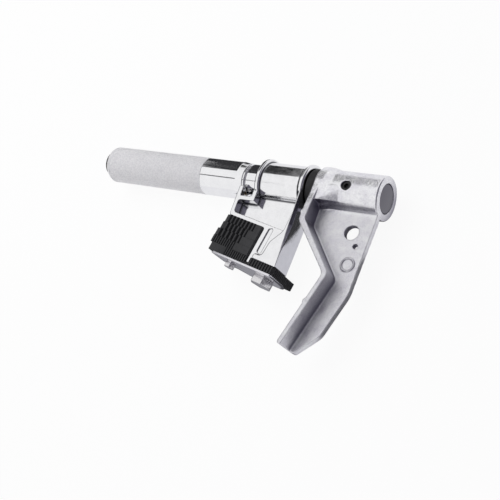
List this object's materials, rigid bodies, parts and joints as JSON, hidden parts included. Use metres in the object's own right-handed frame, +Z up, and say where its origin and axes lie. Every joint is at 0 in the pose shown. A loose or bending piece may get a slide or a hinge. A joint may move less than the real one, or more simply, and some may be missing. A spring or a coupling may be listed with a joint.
{
  "type": "hand screw spreader",
  "caption": "Hand tool with a knurled screw handle that drives a sliding carriage with toothed rubber pads away from a fixed cast L-section jaw on the same bar.",
  "frame": {"origin": "middle of the footprint, on the floor it lies on: the tool rests on the back of its pads and carriage flange", "axes": "+X along the bar from the handle towards the fixed jaw, +Y from the jaw tips towards the bar, +Z up, out of the front of the tool"},
  "size_m": [0.2804, 0.1574, 0.0434],
  "materials": {
    "bar_steel": "satin",
    "plain_steel": "satin",
    "black_steel": "satin",
    "cast_aluminium": "cast",
    "bumper_rubber": "matte",
    "plated_casting": "polished",
    "bronze": "satin",
    "pad_rubber": "matte",
    "zinc_plate": "satin",
    "zinc_bolt": "satin",
    "handle_chrome": "polished, knurled grip",
    "plug_plastic": "matte"
  },
  "bodies": {
    "fixed_arm": {"bar": "bar_steel", "stop_washer": "plain_steel", "stop_screw": "black_steel", "fixed_jaw": "cast_aluminium", "jaw_set_screw": "black_steel", "bumper_ring": "bumper_rubber"},
    "carriage": {"carriage": "plated_casting", "bush_left": "bronze", "bush_right": "bronze", "guide_key": "plain_steel", "key_screws": "black_steel", "thrust_washer": "bronze", "sole_pad": "pad_rubber", "grip_layer_1": "pad_rubber", "grip_layer_2": "pad_rubber", "grip_layer_3": "pad_rubber", "grip_layer_4": "pad_rubber", "clamp_plate": "zinc_plate", "hex_bolt": "zinc_bolt", "pad_screw": "zinc_bolt"},
    "handle": {"handle_tube": "handle_chrome", "handle_collar": "handle_chrome", "drive_nut": "bronze", "nut_pin": "plain_steel", "handle_end_plug": "plug_plastic"}
  },
  "joints": [
    {"name": "jaw_slide", "type": "slide", "parent": "fixed_arm", "child": "carriage", "axis": [1, 0, 0], "range_m": [-0.06, 0]},
    {"name": "handle_turn", "type": "hinge", "parent": "carriage", "child": "handle", "pos_m": [-0.00975, 0.0583, 0.0206], "axis": [1, 0, 0], "range_deg": [-4320, 0]}
  ],
  "couplings": [
    {"joint": "jaw_slide", "follows": "handle_turn", "m_per_rad": 0.00079577}
  ]
}
